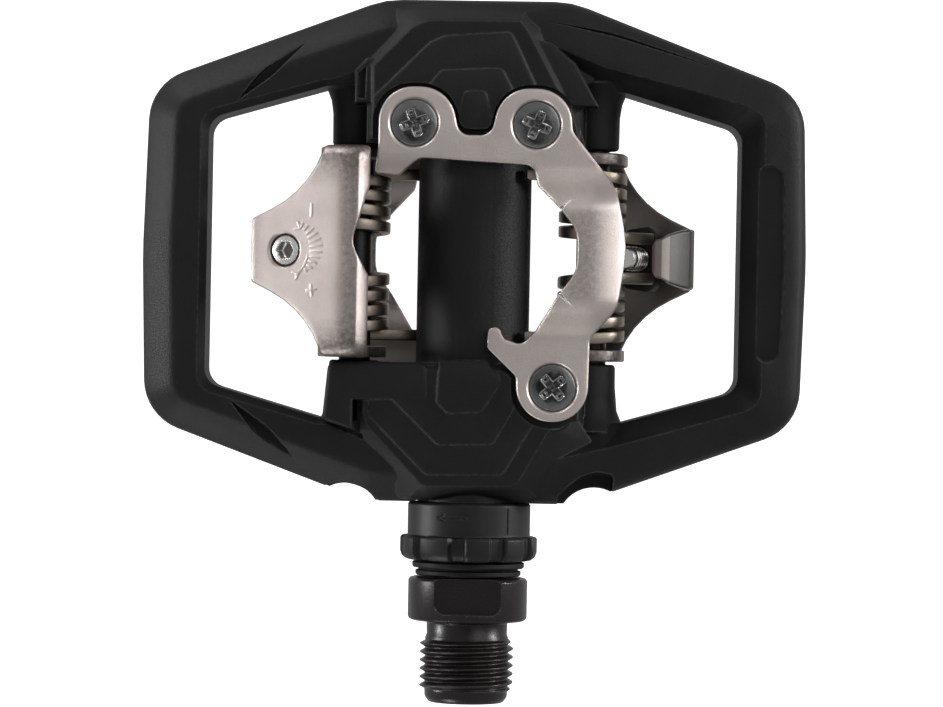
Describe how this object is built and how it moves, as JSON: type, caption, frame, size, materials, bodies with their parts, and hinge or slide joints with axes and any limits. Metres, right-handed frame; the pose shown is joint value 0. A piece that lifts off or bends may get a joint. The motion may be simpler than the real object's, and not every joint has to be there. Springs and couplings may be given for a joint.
{
  "type": "clipless pedal",
  "caption": "Two-sided clipless bicycle pedal with a cast cage body, fixed cleat plates, sprung claws with tension screws and a sealed ball-bearing axle unit.",
  "frame": {"origin": "middle of the whole pedal's bounding box, on the axle's axis", "axes": "+Y along the axle away from the crank, +X fore and aft, +Z out of face a; face b is face a turned half a turn about Y"},
  "size_m": [0.1002, 0.1062, 0.0312],
  "materials": {
    "black_casting": "satin black coating on cast aluminium",
    "plate_steel": "tumbled nickel-plated sheet steel",
    "spring_steel": "oiled spring wire",
    "screw_steel": "plated screw steel",
    "adjuster_steel": "black oxide",
    "black_steel": "oiled black oxide",
    "resin": "fine moulded grain",
    "rubber": "matt",
    "bearing_steel": "ground and polished"
  },
  "bodies": {
    "axle": {"spindle": "black_steel", "bearing_cone": "bearing_steel", "axle_washer": "bearing_steel", "lock_nut": "bearing_steel"},
    "pedal_body": {"pedal_casting": "black_casting", "lock_bolt": "resin", "axle_seal": "rubber", "bearing_sleeve": "bearing_steel", "inboard_bush": "resin", "pivot_pin_a": "black_steel", "pivot_pin_b": "black_steel", "fixed_plate_a": "plate_steel", "fixed_plate_b": "plate_steel", "plate_screw_a1": "screw_steel", "plate_screw_a2": "screw_steel", "plate_screw_a3": "screw_steel", "plate_screw_b1": "screw_steel", "plate_screw_b2": "screw_steel", "plate_screw_b3": "screw_steel", "torsion_spring_a_outboard": "spring_steel", "torsion_spring_a_crank": "spring_steel", "torsion_spring_b_outboard": "spring_steel", "torsion_spring_b_crank": "spring_steel"},
    "inner_ball_row": {"inner_ball_01": "bearing_steel", "inner_ball_02": "bearing_steel", "inner_ball_03": "bearing_steel", "inner_ball_04": "bearing_steel", "inner_ball_05": "bearing_steel", "inner_ball_06": "bearing_steel", "inner_ball_07": "bearing_steel", "inner_ball_08": "bearing_steel", "inner_ball_09": "bearing_steel", "inner_ball_10": "bearing_steel", "inner_ball_11": "bearing_steel", "inner_ball_12": "bearing_steel"},
    "outer_ball_row": {"outer_ball_01": "bearing_steel", "outer_ball_02": "bearing_steel", "outer_ball_03": "bearing_steel", "outer_ball_04": "bearing_steel", "outer_ball_05": "bearing_steel", "outer_ball_06": "bearing_steel", "outer_ball_07": "bearing_steel", "outer_ball_08": "bearing_steel", "outer_ball_09": "bearing_steel", "outer_ball_10": "bearing_steel", "outer_ball_11": "bearing_steel", "outer_ball_12": "bearing_steel"},
    "claw_a": {"claw_a": "plate_steel"},
    "tension_screw_a": {"tension_screw_a": "screw_steel"},
    "adjuster_plate_a": {"adjuster_plate_a": "adjuster_steel"},
    "claw_b": {"claw_b": "plate_steel"},
    "tension_screw_b": {"tension_screw_b": "screw_steel"},
    "adjuster_plate_b": {"adjuster_plate_b": "adjuster_steel"}
  },
  "joints": [
    {"name": "pedal_spin", "type": "hinge", "parent": "axle", "child": "pedal_body", "pos_m": [0, 0, 0], "axis": [0, 1, 0], "continuous": true},
    {"name": "inner_row_roll", "type": "hinge", "parent": "axle", "child": "inner_ball_row", "pos_m": [0, 0.0271, 0], "axis": [0, 1, 0], "continuous": true},
    {"name": "outer_row_roll", "type": "hinge", "parent": "axle", "child": "outer_ball_row", "pos_m": [0, 0.0371, 0], "axis": [0, 1, 0], "continuous": true},
    {"name": "claw_a_hinge", "type": "hinge", "parent": "pedal_body", "child": "claw_a", "pos_m": [-0.0179, 0.0147, 0], "axis": [0, -1, 0], "range_deg": [0, 15], "stiffness_Nm_per_rad": 2, "springref_deg": -28.65, "deforming": ["torsion_spring_a_outboard", "torsion_spring_a_crank"]},
    {"name": "tension_screw_a_turn", "type": "hinge", "parent": "claw_a", "child": "tension_screw_a", "pos_m": [-0.0284, 0.0147, 0.01081], "axis": [-0.4462, 0, 0.8949], "range_deg": [-360, 1080]},
    {"name": "adjuster_plate_a_slide", "type": "slide", "parent": "claw_a", "child": "adjuster_plate_a", "axis": [0.4462, 0, -0.8949], "range_m": [-0.0007, 0.0021], "deforming": ["torsion_spring_a_outboard", "torsion_spring_a_crank"]},
    {"name": "claw_b_hinge", "type": "hinge", "parent": "pedal_body", "child": "claw_b", "pos_m": [0.0179, 0.0147, 0], "axis": [0, -1, 0], "range_deg": [0, 15], "stiffness_Nm_per_rad": 2, "springref_deg": -28.65, "deforming": ["torsion_spring_b_outboard", "torsion_spring_b_crank"]},
    {"name": "tension_screw_b_turn", "type": "hinge", "parent": "claw_b", "child": "tension_screw_b", "pos_m": [0.0284, 0.0147, -0.01081], "axis": [0.4462, 0, -0.8949], "range_deg": [-360, 1080]},
    {"name": "adjuster_plate_b_slide", "type": "slide", "parent": "claw_b", "child": "adjuster_plate_b", "axis": [-0.4462, 0, 0.8949], "range_m": [-0.0007, 0.0021], "deforming": ["torsion_spring_b_outboard", "torsion_spring_b_crank"]}
  ],
  "couplings": [
    {"joint": "inner_row_roll", "follows": "pedal_spin", "ratio": 0.6293},
    {"joint": "outer_row_roll", "follows": "pedal_spin", "ratio": 0.6293},
    {"joint": "tension_screw_a_turn", "follows": "adjuster_plate_a_slide", "rad_per_m": 8976},
    {"joint": "tension_screw_b_turn", "follows": "adjuster_plate_b_slide", "rad_per_m": 8976}
  ]
}
